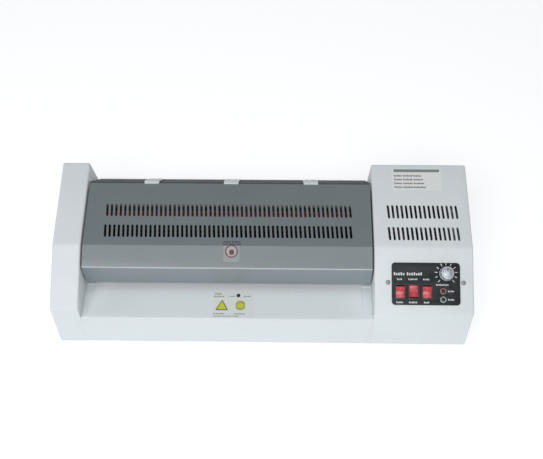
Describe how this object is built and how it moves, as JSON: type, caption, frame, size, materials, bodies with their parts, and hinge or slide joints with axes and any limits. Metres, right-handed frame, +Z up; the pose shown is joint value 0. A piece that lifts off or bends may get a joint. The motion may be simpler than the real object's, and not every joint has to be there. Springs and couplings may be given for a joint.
{
  "type": "pouch laminator",
  "caption": "Desktop pouch laminator: low sheet-metal body, vented grey cover over red rollers, feed table at the front, controls at the right end.",
  "frame": {"origin": "centre of the outline on the surface the feet stand on", "axes": "+X to the control side, +Y from the feed side to the exit side, +Z up"},
  "size_m": [0.5, 0.226, 0.1248],
  "materials": {
    "white_paint": "satin off-white powder coat",
    "grey_paint": "satin blue-grey powder coat",
    "zinc_plate": "zinc-plated sheet",
    "bright_steel": "ground bright steel",
    "dark_anodised": "black anodised extrusion",
    "bronze": "sintered bronze",
    "red_silicone": "ground matt silicone",
    "nylon": "natural nylon",
    "black_plastic": "fine textured black",
    "red_plastic": "translucent red",
    "red_lamp": "translucent red lens",
    "green_lamp": "translucent green lens",
    "silver_plastic": "silver-painted plastic",
    "foot_rubber": "matt black rubber",
    "board": "green solder mask"
  },
  "bodies": {
    "housing": {"base_pan": "zinc_plate", "left_end_cover": "white_paint", "right_end_cover": "white_paint", "top_cover": "grey_paint", "cover_clip_1": "white_paint", "cover_clip_2": "white_paint", "cover_clip_3": "white_paint", "feed_table": "white_paint", "rear_panel": "white_paint", "left_side_plate": "zinc_plate", "right_side_plate": "zinc_plate", "frame_tie_bar": "bright_steel", "lower_front_left_bush": "bronze", "lower_front_right_bush": "bronze", "lower_rear_left_bush": "bronze", "lower_rear_right_bush": "bronze", "upper_front_left_spring": "bright_steel", "upper_front_right_spring": "bright_steel", "upper_rear_left_spring": "bright_steel", "upper_rear_right_spring": "bright_steel", "lower_heater_plate": "dark_anodised", "upper_heater_plate": "dark_anodised", "gear_motor": "zinc_plate", "circuit_board": "board", "fan_frame": "black_plastic", "control_panel": "black_plastic", "power_switch_frame": "black_plastic", "direction_switch_frame": "black_plastic", "mode_switch_frame": "black_plastic", "potentiometer": "bright_steel", "power_lamp": "red_lamp", "ready_lamp": "green_lamp", "power_inlet": "black_plastic", "front_left_foot": "foot_rubber", "front_right_foot": "foot_rubber", "rear_left_foot": "foot_rubber", "rear_right_foot": "foot_rubber"},
    "lower_front_roller": {"lower_front_roller_shaft": "bright_steel", "lower_front_roller_sleeve": "red_silicone", "lower_front_gear": "nylon"},
    "lower_rear_roller": {"lower_rear_roller_shaft": "bright_steel", "lower_rear_roller_sleeve": "red_silicone", "lower_rear_gear": "nylon"},
    "idler": {"idler_gear": "nylon"},
    "pinion": {"motor_pinion": "nylon"},
    "upper_front_carriage": {"upper_front_left_bearing_block": "nylon", "upper_front_right_bearing_block": "nylon"},
    "upper_front_roller": {"upper_front_roller_shaft": "bright_steel", "upper_front_roller_sleeve": "red_silicone", "upper_front_gear": "nylon"},
    "upper_rear_carriage": {"upper_rear_left_bearing_block": "nylon", "upper_rear_right_bearing_block": "nylon"},
    "upper_rear_roller": {"upper_rear_roller_shaft": "bright_steel", "upper_rear_roller_sleeve": "red_silicone", "upper_rear_gear": "nylon"},
    "fan": {"fan_rotor": "black_plastic"},
    "power_switch": {"power_rocker": "red_plastic"},
    "direction_switch": {"direction_rocker": "red_plastic"},
    "mode_switch": {"mode_rocker": "red_plastic"},
    "temperature_control": {"temperature_knob": "silver_plastic"}
  },
  "joints": [
    {"name": "lower_front_roller_spin", "type": "hinge", "parent": "housing", "child": "lower_front_roller", "pos_m": [-0.04125, -0.028, 0.0395], "axis": [1, 0, 0], "continuous": true},
    {"name": "lower_rear_roller_spin", "type": "hinge", "parent": "housing", "child": "lower_rear_roller", "pos_m": [-0.04125, 0.026, 0.0395], "axis": [1, 0, 0], "continuous": true},
    {"name": "idler_spin", "type": "hinge", "parent": "housing", "child": "idler", "pos_m": [0.1405, -0.001, 0.0395], "axis": [1, 0, 0], "continuous": true},
    {"name": "pinion_spin", "type": "hinge", "parent": "housing", "child": "pinion", "pos_m": [0.1405, 0.0485, 0.0395], "axis": [1, 0, 0], "continuous": true},
    {"name": "upper_front_carriage_lift", "type": "slide", "parent": "housing", "child": "upper_front_carriage", "axis": [0, 0, 1], "range_m": [0, 0.0015], "stiffness_N_per_m": 6000, "springref_m": -0.004, "deforming": ["upper_front_left_spring", "upper_front_right_spring"]},
    {"name": "upper_front_roller_spin", "type": "hinge", "parent": "upper_front_carriage", "child": "upper_front_roller", "pos_m": [-0.04125, -0.028, 0.0665], "axis": [1, 0, 0], "continuous": true},
    {"name": "upper_rear_carriage_lift", "type": "slide", "parent": "housing", "child": "upper_rear_carriage", "axis": [0, 0, 1], "range_m": [0, 0.0015], "stiffness_N_per_m": 6000, "springref_m": -0.004, "deforming": ["upper_rear_left_spring", "upper_rear_right_spring"]},
    {"name": "upper_rear_roller_spin", "type": "hinge", "parent": "upper_rear_carriage", "child": "upper_rear_roller", "pos_m": [-0.04125, 0.026, 0.0665], "axis": [1, 0, 0], "continuous": true},
    {"name": "fan_spin", "type": "hinge", "parent": "housing", "child": "fan", "pos_m": [0.193, -0.00837, 0.10917], "axis": [0, -0.077, 0.997], "continuous": true},
    {"name": "power_switch_rock", "type": "hinge", "parent": "housing", "child": "power_switch", "pos_m": [0.1633, -0.08979, 0.09256], "axis": [1, 0, 0], "range_deg": [-22, 0]},
    {"name": "direction_switch_rock", "type": "hinge", "parent": "housing", "child": "direction_switch", "pos_m": [0.179, -0.08979, 0.09256], "axis": [1, 0, 0], "range_deg": [0, 22]},
    {"name": "mode_switch_rock", "type": "hinge", "parent": "housing", "child": "mode_switch", "pos_m": [0.1947, -0.08979, 0.09256], "axis": [1, 0, 0], "range_deg": [-22, 0]},
    {"name": "temperature_turn", "type": "hinge", "parent": "housing", "child": "temperature_control", "pos_m": [0.2172, -0.07286, 0.10677], "axis": [0, -0.4319, 0.9019], "range_deg": [-140, 140]}
  ],
  "couplings": [
    {"joint": "lower_rear_roller_spin", "follows": "lower_front_roller_spin", "ratio": 1},
    {"joint": "idler_spin", "follows": "lower_front_roller_spin", "ratio": -1},
    {"joint": "pinion_spin", "follows": "lower_front_roller_spin", "ratio": -1.5},
    {"joint": "upper_front_roller_spin", "follows": "lower_front_roller_spin", "ratio": -1},
    {"joint": "upper_rear_roller_spin", "follows": "lower_front_roller_spin", "ratio": -1}
  ]
}
